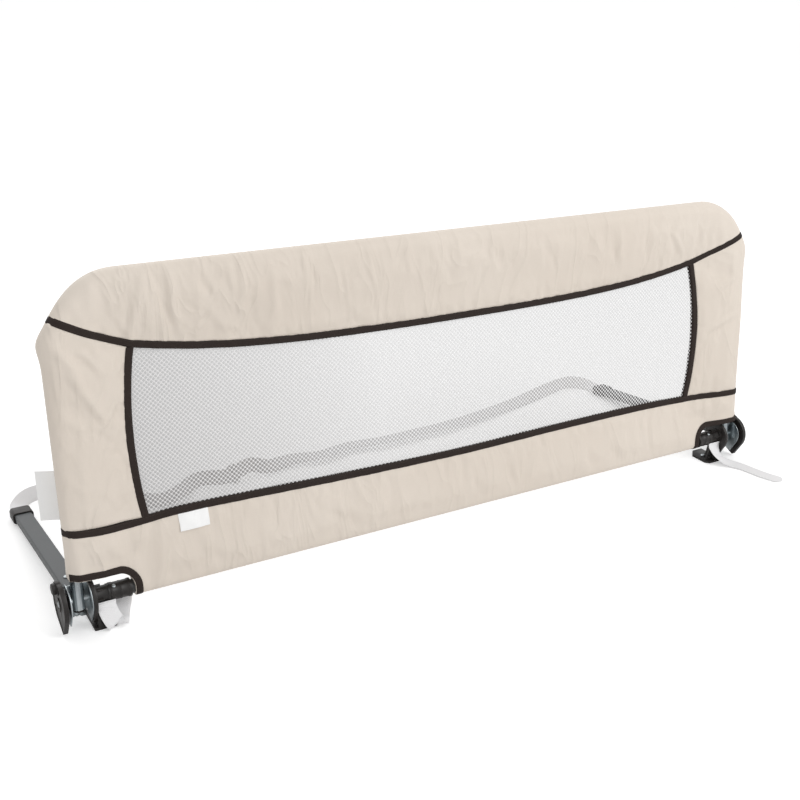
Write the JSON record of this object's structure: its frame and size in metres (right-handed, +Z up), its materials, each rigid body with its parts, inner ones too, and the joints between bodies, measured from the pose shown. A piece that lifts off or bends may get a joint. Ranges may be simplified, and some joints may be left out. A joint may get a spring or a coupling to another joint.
{
  "type": "folding bed guard rail",
  "caption": "Padded fabric guard rail with a net window on a steel frame, hinged at its feet to flat legs that lie under a mattress and are tied by webbing.",
  "frame": {"origin": "middle of the base of the bounding box, on the floor plane that the feet and the leg ends stand on", "axes": "+X along the rail to its right end seen from the front, +Y back along the legs towards the bed, +Z up"},
  "size_m": [1.2256, 0.526, 0.4634],
  "materials": {
    "fabric": "woven polyester over padding, matt, beige",
    "tape": "woven binding tape, matt, dark brown",
    "net": "white netting, matt",
    "black_plastic": "moulded plastic, satin, near black",
    "zinc": "bright zinc plate",
    "grey_paint": "powder coat, dark grey",
    "black_paint": "powder coat, black",
    "webbing": "white polypropylene webbing, matt",
    "label": "bare white label"
  },
  "bodies": {
    "base": {"tube_sleeve_left": "black_plastic", "tube_sleeve_right": "black_plastic", "outer_cover_left": "black_plastic", "outer_cover_right": "black_plastic", "inner_cover_left": "black_plastic", "inner_cover_right": "black_plastic", "foot_left": "black_plastic", "foot_right": "black_plastic", "leg_cap_left": "black_plastic", "leg_cap_right": "black_plastic", "sleeve_rivet_left": "zinc", "sleeve_rivet_right": "zinc", "hinge_bracket_left": "zinc", "hinge_bracket_right": "zinc", "bracket_rivet_left": "zinc", "bracket_rivet_right": "zinc", "pivot_bolt_left": "zinc", "pivot_bolt_right": "zinc", "pivot_nut_left": "zinc", "pivot_nut_right": "zinc", "button_spring_left": "zinc", "button_spring_right": "zinc", "foot_screw_left": "zinc", "foot_screw_right": "zinc", "leg_bolt_left": "zinc", "leg_bolt_right": "zinc", "leg_tube_left": "grey_paint", "leg_tube_right": "grey_paint", "cross_tube": "black_paint", "leg_strap": "webbing", "strap_slide": "webbing", "hinge_strap_left": "webbing", "hinge_strap_right": "webbing"},
    "panel": {"cover_top": "fabric", "cover_bottom": "fabric", "cover_left": "fabric", "cover_right": "fabric", "binding_upper": "tape", "binding_lower": "tape", "binding_side_left": "tape", "binding_side_right": "tape", "binding_cutout_left": "tape", "binding_cutout_right": "tape", "mesh_window": "net", "front_label": "label", "back_label": "label", "corner_tube_left": "black_paint", "corner_tube_right": "black_paint", "top_tube": "black_paint", "tube_spigot_left": "zinc", "tube_spigot_right": "zinc", "upright_end_left": "zinc", "upright_end_right": "zinc", "upright_plug_left": "black_plastic", "upright_plug_right": "black_plastic"},
    "button_left": {"release_button_left": "black_plastic"},
    "button_right": {"release_button_right": "black_plastic"}
  },
  "joints": [
    {"name": "fold", "type": "hinge", "parent": "base", "child": "panel", "pos_m": [0, -0.13035, 0.04322], "axis": [1, 0, 0], "range_deg": [0, 96]},
    {"name": "press_left", "type": "slide", "parent": "base", "child": "button_left", "axis": [1, 0, 0], "range_m": [0, 0.004], "stiffness_N_per_m": 600, "springref_m": -0.004, "deforming": ["button_spring_left"]},
    {"name": "press_right", "type": "slide", "parent": "base", "child": "button_right", "axis": [-1, 0, 0], "range_m": [0, 0.004], "stiffness_N_per_m": 600, "springref_m": -0.004, "deforming": ["button_spring_right"]}
  ]
}
